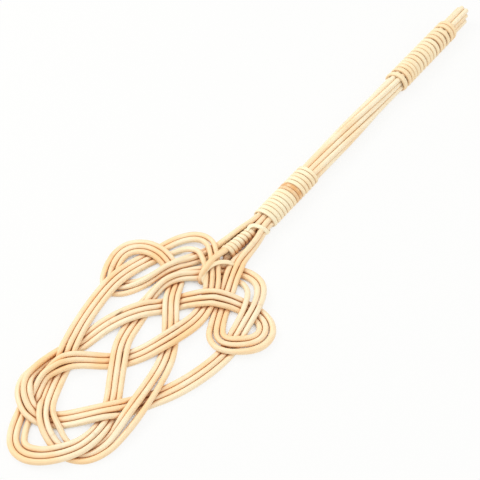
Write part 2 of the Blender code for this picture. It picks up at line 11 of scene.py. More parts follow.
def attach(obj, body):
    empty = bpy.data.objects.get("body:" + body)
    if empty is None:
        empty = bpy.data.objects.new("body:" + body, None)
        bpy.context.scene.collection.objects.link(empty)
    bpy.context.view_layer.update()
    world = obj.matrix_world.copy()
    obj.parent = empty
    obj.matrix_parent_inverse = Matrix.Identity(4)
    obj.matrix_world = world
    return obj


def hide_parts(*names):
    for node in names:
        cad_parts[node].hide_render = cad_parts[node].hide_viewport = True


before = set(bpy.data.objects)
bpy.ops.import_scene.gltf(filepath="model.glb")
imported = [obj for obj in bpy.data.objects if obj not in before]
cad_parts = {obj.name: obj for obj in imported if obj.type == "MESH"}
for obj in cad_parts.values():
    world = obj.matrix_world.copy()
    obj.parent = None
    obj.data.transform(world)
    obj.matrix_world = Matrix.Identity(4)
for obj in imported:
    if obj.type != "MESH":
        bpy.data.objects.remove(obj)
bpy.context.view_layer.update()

bl_info = {
    "name": "Rattan carpet beater",
    "version": (1, 0, 0),
    "blender": (4, 5, 0),
    "location": "3D View > Sidebar > Carpet beater",
    "description": "Woven head, bound handle and a plain stage",
    "category": "Add Mesh",
}

# All lengths are in metres. This leads from the setting-out plan, whose zero is the head's tip on
# the handle's axis, to the part's own frame.
PLAN_SHIFT = Vector((-0.32740, -0.00248, 0.0))

KNOT_CANES = {
    "knot_cane_left": ("woven_cane_left", "cane_left"),
    "knot_cane_middle": ("woven_cane_middle", "cane_middle"),
    "knot_cane_right": ("woven_cane_right", "cane_right"),
}
FILLER_CANES = {
    "filler_cane_left": ("handle_cane_left", "filler_left"),
    "filler_cane_right": ("handle_cane_right", "filler_right"),
}
ALL_CANES = (*KNOT_CANES, "tie_cane", *FILLER_CANES)

# How the canes' middle lines are read from the CAD.
WELD_DISTANCE = 0.00002
BUTT_REACH = 0.30
END_FACING = 0.9
CANE_STEP = 0.0015
CANE_EASING = 3
# The legs bend gently between the knot and the neck.
LEG_SPAN = (0.262, 0.312)
LEG_BLEND = 0.01
LEG_EASING = 30
# The tie cane's bend is drawn tight, to this much along and across from where it would lie loose.
BEND_DRAWN = (0.0046, 0.0029)
BEND_SPAN = (0.214, 0.232)

# The form of a cane: its section, its ends, and the joints where leaves grew.
CANE_SIDES = 16
SMOOTH_ANGLE = math.radians(50)
END_ROUNDING = 0.0004
RESTING_FLAT = 0.00015
JOINT_SPACING = 0.31
FIRST_JOINT = (0.3, 0.9)
JOINT_HALF_LENGTH = 0.0022
JOINT_RISE = 0.00010
JOINT_MARK = 0.16
# How far away a neighbour still limits a cane's width, and the samples that even the width out.
ROOM_REACH = 0.0075
ROOM_LOWEST, ROOM_MEAN = 5, 8
# Small differences in girth as shares of it, with the samples from one to the next.
SWELL, SWELL_SPACING = 0.016, 40
RIPPLE, RIPPLE_SPACING = 0.006, 12
OVALNESS, OVAL_SPACING = 0.015, 60
THREE_FLUTES, FIVE_FLUTES = 0.012, 0.008
# Each cane draws its differences from a seed of its own.
SEED_STEP, TIE_SEED, HANDLE_SEED, STRIP_SEED = 20, 80, 100, 11

# What each point of a cane tells its material: painted seam shade, painted shelter shade, tone.
CREVICE_REACH = 0.00082
SHELTER_REACH = 0.012
# Samples of a cane this near along it are no neighbours of their own cane.
OWN_REACH = 0.012
# The handle's canes lie in the open, so their painted shade and tone fall to lower values from this
# x on.
HANDLE_FROM, HANDLE_BLEND = -0.02, 0.05
SEAM_SHARE, SEAM_LOSS, SHELTER_LOSS, TONE_LOSS = 0.86, 0.50, 0.35, 0.5
TONE_MIDDLE, TONE_SWING, TONE_SPACING, TONE_LEAST = 0.25, 0.25, 70, -0.3
# Under a binding a cane gets painted shade, from this far inside the binding's ends.
WRAPPED_SEAM_SHADE, WRAPPED_FROM, WRAPPED_BLEND = 0.95, 0.001, 0.002
# The tie cane is shaded up to this far under its coil, and below this height.
COIL_SHADE_END, COIL_SHADE_BLEND = 0.006, 0.008
COIL_SHADE_TOP, COIL_SHADE_DEPTH, COIL_SHADE_MOST = 0.0155, 0.006, 0.75
# Small scars that the canes show: from and to on the plan, half width, and how dark.
MARK_PLACES = (
    ((0.1472, 0.0373), (0.1521, 0.0357), 0.00078, 0.92),
    ((0.0745, -0.0413), (0.0762, -0.0409), 0.0008, 0.30),
)
# They are on the upper side of a cane, from this share of its radius up.
MARK_FROM = 0.3
MARK_SOFTNESS = 1.5

# The strip's section: flat inner side, domed bark side, as shares of its width and thickness.
STRIP_SECTION = (
    (-0.50, -0.28), (-0.45, -0.50), (0.45, -0.50), (0.50, -0.28), (0.475, 0.0), (0.40, 0.22),
    (0.30, 0.36), (0.16, 0.47), (0.0, 0.50), (-0.16, 0.47), (-0.30, 0.36), (-0.40, 0.22),
    (-0.475, 0.0),
)
# Samples in a turn and in the rounding of its path, and the step of a free run.
STRIP_POINTS = 40
STRIP_ROUNDING = 4
STRIP_STEP = 0.0007
STRIP_EASING = 2
STRIP_CLEARANCE = 0.00045
# The most of a turn's room that the strip fills, and how unevenly it was split.
TURN_FILL = 0.96
STRIP_UNEVEN, STRIP_UNEVEN_SPACING = 0.03, 30
# The strip gets painted shade from its crown to its edges, and by so much a metre away from the key
# lamp.
EDGE_FROM, EDGE_BLEND = 0.46, 0.45
SIDE_SHADE = 70

NECK_FROM, NECK_TO = 0.3085, 0.3767
GRIP_FROM, GRIP_TO = 0.5235, 0.6230
FORK_FROM, FORK_TO, FORK_TURNS = 0.2555, 0.2880, 7
FORK_PHASE = math.radians(215)
# Straight arms are read from this far before the coil. A turn may start this far before an arm.
ARM_LEAD = 0.01
ARM_SLACK = 0.0005
# The room of each turn, as shares of the whole: the grip's are looser at its ends and once between.
NECK_SPACING = [5.0, 4.8, 4.3, 4.4, 4.8, 4.8, 4.7, 3.9, 4.5, 5.0, 4.5, 5.1, 4.8, 4.3]
GRIP_SPACING = [6.5, 5.0, 3.8, 3.9, 4.8, 4.7, 5.0, 4.7, 4.6, 4.4, 5.6, 4.7, 4.7, 6.6, 4.6, 4.0]
# Two turns at the neck are browner: from and to on the plan, and how soft the change is.
STAIN_SPAN = (0.3404, 0.3502)
STAIN_EDGE = 0.0012
STAIN_MIDDLE, STAIN_SWING, STAIN_SPACING, STAIN_SEED = 0.75, 0.25, 13, 5

# The free runs of the strip: how they are shaded, and how their tips taper.
LEAD_TONE = 0.1
LEAD_SHADING = 0.2
LEAD_GROOVE = 0.6
TIP_SHARE, TIP_SAMPLES = 0.45, 12
# Samples that lead into the short run between a free run and the first turn, and those cut off it.
HOP_REACH, HOP_TRIM = 5, 6
TAIL_OUTWARD = (0.0, -0.25, 1.0)
# The handle's middle at the neck: across from the plan's axis, and its height.
HANDLE_ASIDE, HANDLE_HEIGHT = 0.0005, 0.0085
# The strip's run from the coil in the fork to the neck binding, on the plan.
LEAD_PLACES = (
    (0.2840, 0.0015, 0.0156), (0.2885, 0.0024, 0.0170), (0.2918, 0.0002, 0.0176),
    (0.2938, -0.0036, 0.0172), (0.2957, -0.0078, 0.0156), (0.2974, -0.0112, 0.0112),
    (0.3000, -0.0112, 0.0060), (0.3030, -0.0080, 0.0022), (0.3060, -0.0010, 0.0012),
    (0.3085, 0.0060, 0.0022),
)
# Its tail over the crossing, from where it turns down beside the tie cane.
TAIL_PLACES = (
    (0.2195, -0.0020, 0.0062), (0.2205, -0.0004, 0.0092), (0.2222, 0.0018, 0.0124),
    (0.2262, 0.0036, 0.0146), (0.2302, 0.0036, 0.0158), (0.2340, 0.0030, 0.0164),
    (0.2373, 0.0020, 0.0164), (0.2408, 0.0006, 0.0160), (0.2442, -0.0018, 0.0154),
    (0.2472, -0.0046, 0.0144), (0.2500, -0.0078, 0.0122), (0.2520, -0.0090, 0.0096),
)

# Sizes of the patterns. A fibre's are its width and its length.
FIBRE_RADIUS = 0.0025
# Fibre bundles are about 0.3 mm wide. They are drawn 1.1 mm wide, so that they show.
FIBRES = (0.0011, 0.030)
GRAIN = (0.0006, 0.016)
GRAIN_DEPTH = 0.00015
WARM_PATCH = 0.035
SEAM_PATCH = 0.045
BLOTCH = 0.006
# Pores are 0.3 mm wide. They are drawn 0.7 mm apart.
PORE_SPACING = 0.0007
PORE_DEPTH = 0.0003
# Each of these is the span of a value that counts, and what it gives at both ends of the span.
WARMTH = (0.38, 0.68, 0.0, 0.55)
STREAKS = (0.50, 0.70, 0.0, 0.38)
BLOTCHES = (0.36, 0.60, 0.45, 1.0)
# These spans set painted shade: where nearby canes hide the sky, and in the seams between canes and
# between a strip's turns.
SHELTER_SHADE = (0.24, 0.90, 0.0, 0.44)
DEEP_SHELTER_SHADE = (0.62, 1.0, 0.0, 0.50)
CANE_SEAMS = (0.40, 0.60, 0.14, 1.0)
STRIP_SEAMS = (0.40, 0.60, 0.70, 1.0)
SEAMS = (0.10, 0.90, 0.0, 0.58)
DEEP_SEAMS = (0.74, 1.0, 0.0, 0.60)
GLOSS = (0.3, 0.7, 0.34, 0.50)
PORES = (0.18, 0.42, 1.0, 0.0)
# How much of a colour's light its darker forms keep.
STREAK_LIGHT, DEEP_LIGHT, MARK_LIGHT, PORE_LIGHT = 0.84, 0.22, 0.36, 0.35

CAMERA_PLACE = Vector((-0.1199, -0.3160, 0.7627)) + PLAN_SHIFT
CAMERA_TARGET = Vector((0.2805, 0.0071, 0.0)) + PLAN_SHIFT
CAMERA_LENS = 74.78
# Soft disc lamps: place, diameter and power.
LAMPS = {
    "key_lamp": ((-0.35, 1.15, 1.35), 1.1, 12.2),
    "fill_lamp": ((0.6, -1.2, 1.2), 1.6, 4.4),
    "top_lamp": ((-0.1, 0.1, 2.0), 1.8, 6.4),
}
WORLD_LIGHT = 0.705
FLOOR_SIZE = 6.0
FLOOR_CUTS = 3
# The floor shows its shadow this near the beater, and its plain colour farther off.
SHADOW_REACH = 0.030
SHADOW_FADE = (0.08, 0.30, 0.0, 0.90)


def linear(hex_colour):
    """An sRGB hex colour as the linear values that the shader takes."""
    channels = [int(hex_colour[k:k + 2], 16) / 255 for k in (1, 3, 5)]
    return tuple(c / 12.92 if c <= 0.04045 else ((c + 0.055) / 1.055) ** 2.4 for c in channels)


class BeaterSizes(bpy.types.PropertyGroup):
    cane_diameter: FloatProperty(
        name="Cane diameter", description="Thickness of the round canes",
        default=0.0049, min=0.002, max=0.01, unit="LENGTH")
    cane_fullness: FloatProperty(
        name="Fullness", description="How much wider a cane is where its neighbours leave it room",
        default=0.0018, min=0.0, max=0.002, unit="LENGTH")
    strip_width: FloatProperty(
        name="Strip width", description="Width of the split strip of the bindings",
        default=0.0049, min=0.002, max=0.01, unit="LENGTH")
    strip_thickness: FloatProperty(
        name="Strip thickness", description="Thickness of the split strip at its crown",
        default=0.0019, min=0.0005, max=0.004, unit="LENGTH")
    grip_strip_width: FloatProperty(
        name="Grip strip width", description="Width of the split strip on the grip",
        default=0.0057, min=0.002, max=0.01, unit="LENGTH")
    grip_strip_thickness: FloatProperty(
        name="Grip strip thickness", description="Thickness of the grip's strip at its crown",
        default=0.0025, min=0.0005, max=0.004, unit="LENGTH")
    thin_strip_width: FloatProperty(
        name="Thin strip width", description="Width of the strip where it runs free in the fork",
        default=0.0042, min=0.001, max=0.01, unit="LENGTH")
    thin_strip_thickness: FloatProperty(
        name="Thin strip thickness", description="Thickness of the strip where it runs free",
        default=0.0011, min=0.0005, max=0.003, unit="LENGTH")
    random_seed: IntProperty(
        name="Variation", description="Which set of small natural differences the canes get",
        default=7)


class BeaterColours(bpy.types.PropertyGroup):
    cane_pale: FloatVectorProperty(
        name="Cane, pale", description="Peeled cane where it is palest",
        subtype="COLOR", min=0.0, max=1.0, default=linear("#F9E9C9"))
    cane_honey: FloatVectorProperty(
        name="Cane, honey", description="Peeled cane where it is warmest",
        subtype="COLOR", min=0.0, max=1.0, default=linear("#FAD199"))
    # Painted shade: canes and strips take this colour where nearby canes hide the sky, and strips
    # also on their lower and far sides.
    shelter_shade: FloatVectorProperty(
        name="Sheltered", description="Varnish that has yellowed where other canes shelter it",
        subtype="COLOR", min=0.0, max=1.0, default=linear("#E59A55"))
    # Painted shade in the seams and deepest hollows between canes and strip turns; this colour also
    # gives the real joints and scars.
    crevice: FloatVectorProperty(
        name="Crevice", description="Darkened varnish where canes meet",
        subtype="COLOR", min=0.0, max=1.0, default=linear("#BC7230"))
    strip_pale: FloatVectorProperty(
        name="Strip", description="Split strip of the bindings",
        subtype="COLOR", min=0.0, max=1.0, default=linear("#FCF1CF"))
    strip_honey: FloatVectorProperty(
        name="Strip, honey", description="Split strip where it is warmest",
        subtype="COLOR", min=0.0, max=1.0, default=linear("#F8DDB0"))
    stain: FloatVectorProperty(
        name="Stained turns", description="The few turns of the neck binding that are browner",
        subtype="COLOR", min=0.0, max=1.0, default=linear("#E0A25C"))
    pith: FloatVectorProperty(
        name="Cut ends", description="Porous pith at the cut ends",
        subtype="COLOR", min=0.0, max=1.0, default=linear("#DDB984"))
    background: FloatVectorProperty(
        name="Floor", description="Plain floor of the stage",
        subtype="COLOR", min=0.0, max=1.0, default=linear("#FCFCFB"))


def add_node(tree, kind, settings=None, values=None, links=None):
    """One shader node, with its settings, socket values and incoming links."""
    node = tree.nodes.new(kind)
    for name, value in (settings or {}).items():
        setattr(node, name, value)
    for name, value in (values or {}).items():
        node.inputs[name].default_value = value
    for name, source in (links or {}).items():
        tree.links.new(source, node.inputs[name])
    return node


def colour4(colour, light=1.0):
    """A colour for a socket, with as much of its light as asked."""
    return (*[c * light for c in colour], 1.0)


def new_material(name):
    """An empty material that holds a Principled shader and its output."""
    material = bpy.data.materials.new(name)
    material.use_nodes = True
    tree = material.node_tree
    tree.nodes.clear()
    shader = add_node(tree, "ShaderNodeBsdfPrincipled")
    add_node(tree, "ShaderNodeOutputMaterial", links={"Surface": shader.outputs["BSDF"]})
    return material, tree, shader


def mixed(tree, factor, first, second):
    """Two colours mixed; each is a colour or the output of a node."""
    node = add_node(tree, "ShaderNodeMix", {"data_type": "RGBA"})
    for name, value in ((0, factor), (6, first), (7, second)):
        if hasattr(value, "is_linked"):
            tree.links.new(value, node.inputs[name])
        else:
            node.inputs[name].default_value = value
    return node.outputs[2]


def combined(tree, operation, first, second):
    """Two values through one Math node; each is a number or the output of a node."""
    node = add_node(tree, "ShaderNodeMath", {"operation": operation})
    for name, value in enumerate((first, second)):
        if hasattr(value, "is_linked"):
            tree.links.new(value, node.inputs[name])
        else:
            node.inputs[name].default_value = value
    return node.outputs[0]


def ranged(tree, value, low, high, to_low, to_high):
    """A value's smooth step from one level to another over a span."""
    node = add_node(tree, "ShaderNodeMapRange", {"interpolation_type": "SMOOTHSTEP"}, {
        "From Min": low, "From Max": high, "To Min": to_low, "To Max": to_high}, {"Value": value})
    return node.outputs["Result"]


def fibre_noise(tree, width, length, detail=4.0):
    """Streaks that run along a cane: its UV map holds the share of a turn and metres along it."""
    uv = add_node(tree, "ShaderNodeUVMap", {"uv_map": "run"})
    parts = add_node(tree, "ShaderNodeSeparateXYZ", links={"Vector": uv.outputs["UV"]})
    turned = combined(tree, "MULTIPLY", parts.outputs["X"], 2 * math.pi)
    rounds = {}
    for name in ("COSINE", "SINE"):
        wave = add_node(tree, "ShaderNodeMath", {"operation": name}, links={0: turned})
        rounds[name] = combined(tree, "MULTIPLY", wave.outputs[0], FIBRE_RADIUS / width)
    along = combined(tree, "MULTIPLY", parts.outputs["Y"], 1 / length)
    place = add_node(tree, "ShaderNodeCombineXYZ", links={
        "X": rounds["COSINE"], "Y": rounds["SINE"], "Z": along})
    noise = add_node(
        tree, "ShaderNodeTexNoise", values={"Scale": 1.0, "Detail": detail, "Roughness": 0.55},
        links={"Vector": place.outputs["Vector"]})
    return noise.outputs["Fac"]


def patch_noise(tree, size):
    """Soft patches of a real size, fixed to the object."""
    place = add_node(tree, "ShaderNodeTexCoord")
    noise = add_node(
        tree, "ShaderNodeTexNoise", values={"Scale": 1 / size, "Detail": 2.0, "Roughness": 0.5},
        links={"Vector": place.outputs["Object"]})
    return noise.outputs["Fac"]


def attribute(tree, name):
    """One of the values that each point of a piece holds."""
    return add_node(tree, "ShaderNodeAttribute", {"attribute_name": name}).outputs["Fac"]


def rattan_material(name, pale, honey, seams, stain=None):
    """Rattan, peeled and dried: pale and satin, with long fibres, and painted shade in seams and
    sheltered hollows.
    """
    colours = bpy.context.scene.beater_colours
    material, tree, shader = new_material(name)
    fibres = fibre_noise(tree, *FIBRES)
    warmth = add_node(tree, "ShaderNodeMath", {"operation": "ADD", "use_clamp": True}, links={
        0: ranged(tree, patch_noise(tree, WARM_PATCH), *WARMTH), 1: attribute(tree, "tone")})
    body = mixed(tree, warmth.outputs[0], colour4(pale), colour4(honey))
    body = mixed(tree, ranged(tree, fibres, *STREAKS), body, colour4(honey, STREAK_LIGHT))
    if stain is not None:
        blotches = ranged(tree, patch_noise(tree, BLOTCH), *BLOTCHES)
        amount = combined(tree, "MULTIPLY", blotches, attribute(tree, "stain"))
        body = mixed(tree, amount, body, colour4(stain))
    # Painted shade where nearby canes hide the sky, darkest in the deepest hollows.
    shelter = attribute(tree, "shelter")
    shade = mixed(tree, ranged(tree, shelter, *SHELTER_SHADE), body, colour4(colours.shelter_shade))
    shade = mixed(tree, ranged(tree, shelter, *DEEP_SHELTER_SHADE), shade, colour4(colours.crevice))
    # The painted shade in the seams is stronger on some stretches of a seam than on others.
    uneven = ranged(tree, patch_noise(tree, SEAM_PATCH), *seams)
    seam = combined(tree, "MULTIPLY", uneven, attribute(tree, "crevice"))
    shade = mixed(tree, ranged(tree, seam, *SEAMS), shade, colour4(colours.crevice))
    deepest = colour4(colours.crevice, DEEP_LIGHT)
    shade = mixed(tree, ranged(tree, seam, *DEEP_SEAMS), shade, deepest)
    shade = mixed(tree, attribute(tree, "mark"), shade, colour4(colours.crevice, MARK_LIGHT))
    tree.links.new(shade, shader.inputs["Base Color"])
    tree.links.new(ranged(tree, fibres, *GLOSS), shader.inputs["Roughness"])
    bump = add_node(tree, "ShaderNodeBump", values={"Strength": 0.10, "Distance": GRAIN_DEPTH},
                    links={"Height": fibre_noise(tree, *GRAIN, 2.0)})
    tree.links.new(bump.outputs["Normal"], shader.inputs["Normal"])
    shader.inputs["IOR"].default_value = 1.5
    shader.inputs["Specular IOR Level"].default_value = 0.42
    return material


def pith_material(name, pith):
    """Sawn end of rattan: open round pores, matt and a little darker than the peeled side."""
    material, tree, shader = new_material(name)
    place = add_node(tree, "ShaderNodeTexCoord")
    pores = add_node(tree, "ShaderNodeTexVoronoi", values={"Scale": 1 / PORE_SPACING},
                     links={"Vector": place.outputs["Object"]})
    # The pores are dark dots: painted shade in their hollows.
    dots = ranged(tree, pores.outputs["Distance"], *PORES)
    colour = mixed(tree, dots, colour4(pith), colour4(pith, PORE_LIGHT))
    tree.links.new(colour, shader.inputs["Base Color"])
    bump = add_node(tree, "ShaderNodeBump", {"invert": True},
                    {"Strength": 0.5, "Distance": PORE_DEPTH}, {"Height": dots})
    tree.links.new(bump.outputs["Normal"], shader.inputs["Normal"])
    shader.inputs["Roughness"].default_value = 0.75
    return material


def finish(name):
    """A finish of the beater, made once and shared by the pieces that have it."""
    if name in bpy.data.materials:
        return bpy.data.materials[name]
    colours = bpy.context.scene.beater_colours
    if name == "sawn_rattan_pith":
        return pith_material(name, colours.pith)
    if name == "split_rattan_strip":
        return rattan_material(
            name, colours.strip_pale, colours.strip_honey, STRIP_SEAMS, colours.stain)
    return rattan_material(name, colours.cane_pale, colours.cane_honey, CANE_SEAMS)


def ring_centres(node):
    """The middle line of a CAD cane, ring by ring from its cut end on the left of the butt."""
    bm = bmesh.new()
    bm.from_mesh(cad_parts[node].data)
    bmesh.ops.remove_doubles(bm, verts=bm.verts, dist=WELD_DISTANCE)
    # The flats that the canes rest on break the rings, so their corners are left out.
    flat = {v for v in bm.verts if v.co.z < WELD_DISTANCE}
    ends = [f for f in bm.faces
            if f.normal.x > END_FACING and f.calc_center_median().x > BUTT_REACH]
    start = max(ends, key=lambda f: f.calc_center_median().y)
    ring = set(start.verts)
    grew = True
    while grew:
        grew = False
        for face in ends:
            if ring & set(face.verts) and not ring >= set(face.verts):
                ring |= set(face.verts)
                grew = True
    seen = set(ring) | flat
    ring -= flat
    centres = []
    while ring:
        corners = [v.co for v in ring]
        # Opposite corners of a ring are farthest apart, and the cane's middle is halfway.
        pairs = ((a - b).length for a in corners for b in corners)
        widest = max(pairs) - WELD_DISTANCE * 2
        halfway = [(a + b) / 2 for a in corners for b in corners if (a - b).length > widest]
        centres.append(sum(halfway, Vector()) / len(halfway))
        following = {e.other_vert(v) for v in ring for e in v.link_edges} - seen
        seen |= following
        ring = following
    bm.free()
    return np.array(centres)


def travelled(line):
    """The way along a line from its start to each of its samples."""
    return np.concatenate(([0.0], np.cumsum(np.linalg.norm(np.diff(line, axis=0), axis=1))))


def curve_through(points, step):
    """A smooth line through the points, with samples a step apart."""
    points = np.asarray(points, dtype=float)
    padded = np.vstack((2 * points[0] - points[1], points, 2 * points[-1] - points[-2]))
    spans = np.linalg.norm(np.diff(padded, axis=0), axis=1)
    knots = np.concatenate(([0.0], np.cumsum(spans ** 0.5)))
    out = []
    for k in range(1, len(padded) - 2):
        p0, p1, p2, p3 = padded[k - 1:k + 3]
        t0, t1, t2, t3 = knots[k - 1:k + 3]
        count = max(int(np.ceil(np.linalg.norm(p2 - p1) / step)), 1)
        t = np.linspace(t1, t2, count, endpoint=False)[:, None]
        a1 = (t1 - t) / (t1 - t0) * p0 + (t - t0) / (t1 - t0) * p1
        a2 = (t2 - t) / (t2 - t1) * p1 + (t - t1) / (t2 - t1) * p2
        a3 = (t3 - t) / (t3 - t2) * p2 + (t - t2) / (t3 - t2) * p3
        b1 = (t2 - t) / (t2 - t0) * a1 + (t - t0) / (t2 - t0) * a2
        b2 = (t3 - t) / (t3 - t1) * a2 + (t - t1) / (t3 - t1) * a3
        out.append((t2 - t) / (t2 - t1) * b1 + (t - t1) / (t2 - t1) * b2)
    out.append(padded[-2][None, :])
    line = np.vstack(out)
    travel = travelled(line)
    marks = np.linspace(0.0, travel[-1], int(round(travel[-1] / step)) + 1)
    return np.stack([np.interp(marks, travel, line[:, k]) for k in range(3)], axis=1)


def eased(line, rounds):
    """The line with its small corners taken off, and its ends where they were."""
    line = line.copy()
    for _ in range(rounds):
        line[1:-1] = line[1:-1] * 0.5 + (line[:-2] + line[2:]) * 0.25
    return line


def eased_step(share):
    """A smooth step from 0 to 1."""
    share = np.clip(share, 0, 1)
    return share * share * (3 - 2 * share)


def within(places, low, high, blend):
    """1 between two places and 0 beyond them, with a straight blend inside each."""
    return np.clip((places - low) / blend, 0, 1) * np.clip((high - places) / blend, 0, 1)


CENTRE_LINES = {}


def centre_line(node):
    """The smooth middle line of a cane, worked out once."""
    if node not in CENTRE_LINES:
        line = eased(curve_through(ring_centres(node), CANE_STEP), CANE_EASING)
        legs = within(line[:, 0] - PLAN_SHIFT.x, *LEG_SPAN, LEG_BLEND)[:, None]
        line = line * (1 - legs) + eased(line, LEG_EASING) * legs
        if node == "tie_cane":
            low, high = BEND_SPAN
            drawn = eased_step((high + PLAN_SHIFT.x - line[:, 0]) / (high - low))
            line[:, :2] += drawn[:, None] * np.array(BEND_DRAWN)
        CENTRE_LINES[node] = line
    return CENTRE_LINES[node]


def smooth_values(count, spacing, seed):
    """Slow random values between -1 and 1, one a sample."""
    rng = np.random.RandomState(seed)
    knots = np.arange(0, count + 2 * spacing, spacing)
    values = rng.uniform(-1, 1, len(knots))
    place = np.arange(count)
    low = place // spacing
    share = eased_step((place % spacing) / spacing)
    return values[low] * (1 - share) + values[low + 1] * share


def carried_frames(line):
    """A tangent and two crossways directions at each sample, carried along without twist."""
    tangent = np.gradient(line, axis=0)
    tangent /= np.linalg.norm(tangent, axis=1)[:, None]
    side = np.cross(tangent[0], (0.0, 0.0, 1.0))
    sides = []
    for direction in tangent:
        side = side - direction * np.dot(side, direction)
        side = side / np.linalg.norm(side)
        sides.append(side)
    sides = np.array(sides)
    return tangent, sides, np.cross(sides, tangent)


def start_piece(name):
    """An object to hold a piece, made as a circle whose mesh is then replaced by its run."""
    bpy.ops.object.select_all(action="DESELECT")
    bpy.ops.mesh.primitive_circle_add(vertices=CANE_SIDES, location=(0, 0, 0))
    item = bpy.context.object
    item.name = name
    item.data.name = name
    return item


def fill_run(item, rings, along, materials, values):
    """Turn rings of points into one closed run with its UV map and per-point values."""
    mesh = item.data
    bm = bmesh.new()
    uv = bm.loops.layers.uv.new("run")
    layers = {name: bm.verts.layers.float.new(name) for name in values}
    grid = []
    for r, ring in enumerate(rings):
        row = []
        for k, place in enumerate(ring):
            vert = bm.verts.new(tuple(place))
            for name, layer in layers.items():
                vert[layer] = float(values[name][r, k])
            row.append(vert)
        grid.append(row)
    count = len(rings[0])
    for r in range(len(grid) - 1):
        for k in range(count):
            nxt = (k + 1) % count
            face = bm.faces.new((grid[r][k], grid[r][nxt], grid[r + 1][nxt], grid[r + 1][k]))
            corners = ((k, r), (k + 1, r), (k + 1, r + 1), (k, r + 1))
            for loop, (c, row) in zip(face.loops, corners):
                loop[uv].uv = (c / count, along[row])
            face.smooth = True
    for ring in (grid[0][::-1], grid[-1]):
        cap = bm.faces.new(ring)
        cap.material_index = len(materials) - 1
    bmesh.ops.recalc_face_normals(bm, faces=bm.faces)
    bm.to_mesh(mesh)
    bm.free()
    mesh.materials.clear()
    for material in materials:
        mesh.materials.append(material)
    bpy.ops.object.select_all(action="DESELECT")
    item.select_set(True)
    bpy.context.view_layer.objects.active = item
    bpy.ops.object.shade_smooth_by_angle(angle=SMOOTH_ANGLE)


def hand_over(item, node):
    """Tie a piece to the part's body, and hide the CAD node that it stands for."""
    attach(item, "root")
    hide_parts(node)


def neighbours(name):
    """A search for the samples near a place, without the named cane's own ones beside it."""
    owners, places = [], []
    for owner in ALL_CANES:
        other = centre_line(owner)
        owners.extend((owner, k) for k in range(len(other)))
        places.extend(other)
    tree = kdtree.KDTree(len(places))
    for k, place in enumerate(places):
        tree.insert(Vector(place), k)
    tree.balance()
    near = int(OWN_REACH / CANE_STEP)

    def found(place, sample, reach):
        hits = tree.find_range(Vector(place), reach)
        return [h for h in hits if owners[h[1]][0] != name or abs(owners[h[1]][1] - sample) > near]

    return found


def running(values, half, kind):
    """The lowest or the mean value within so many samples either way."""
    padded = np.pad(values, half, mode="edge")
    windows = np.lib.stride_tricks.sliding_window_view(padded, 2 * half + 1)
    return windows.min(axis=1) if kind == "lowest" else windows.mean(axis=1)


def cane_radii(line, found, radius, fullness):
    """How thick the cane is at each sample: as wide as its neighbours leave it room for."""
    room = []
    for sample, place in enumerate(line):
        hits = found(place, sample, ROOM_REACH)
        room.append(min((h[2] for h in hits), default=ROOM_REACH) / 2)
    room = np.clip(room, radius, radius + fullness / 2)
    return running(running(room, ROOM_LOWEST, "lowest"), ROOM_MEAN, "mean")


def seam_values(line, rings, radii, found):
    """How deep in a seam between canes each point of a cane lies, from 0 to 1."""
    seam = np.zeros(rings.shape[:2])
    for sample, radius in enumerate(radii):
        hits = found(line[sample], sample, 2 * radius + CREVICE_REACH)
        if not hits:
            continue
        around = np.array([h[0] for h in hits])
        away = np.linalg.norm(rings[sample][:, None, :] - around[None, :, :], axis=2).min(axis=1)
        seam[sample] = np.clip(1.0 - (away - radius) / CREVICE_REACH, 0.0, 1.0)
    return seam


def shelter_values(line, rings, found, radius):
    """The share of open sky that nearby canes hide from each point of a cane."""
    shelter = np.zeros(rings.shape[:2])
    for sample, ring in enumerate(rings):
        hits = found(line[sample], sample, SHELTER_REACH)
        if not hits:
            continue
        around = np.array([h[0] for h in hits])
        outward = ring - line[sample]
        outward /= np.linalg.norm(outward, axis=1)[:, None]
        toward = around[None, :, :] - ring[:, None, :]
        away = np.linalg.norm(toward, axis=2)
        facing = np.clip(np.einsum("kj,kmj->km", outward, toward) / away, 0, 1)
        hidden = facing * CANE_STEP * 2 * radius / (math.pi * np.maximum(away, radius) ** 2)
        shelter[sample] = np.clip(hidden.sum(axis=1), 0, 1)
    return shelter


def scar_values(line, rings, radius, mark):
    """How dark the joints and the small scars are at each point of a cane."""
    upper = rings[:, :, 2] > line[:, None, 2] + radius * MARK_FROM
    shift = np.array(PLAN_SHIFT)[:2]
    for start, end, half, dark in MARK_PLACES:
        start = np.array(start) + shift
        reach = np.array(end) + shift - start
        share = np.clip((rings[:, :, :2] - start) @ reach / (reach @ reach), 0, 1)
        away = np.linalg.norm(rings[:, :, :2] - start - share[:, :, None] * reach, axis=2)
        mark = np.maximum(mark, np.clip(MARK_SOFTNESS - away / half, 0, 1) * dark * upper)
    return mark


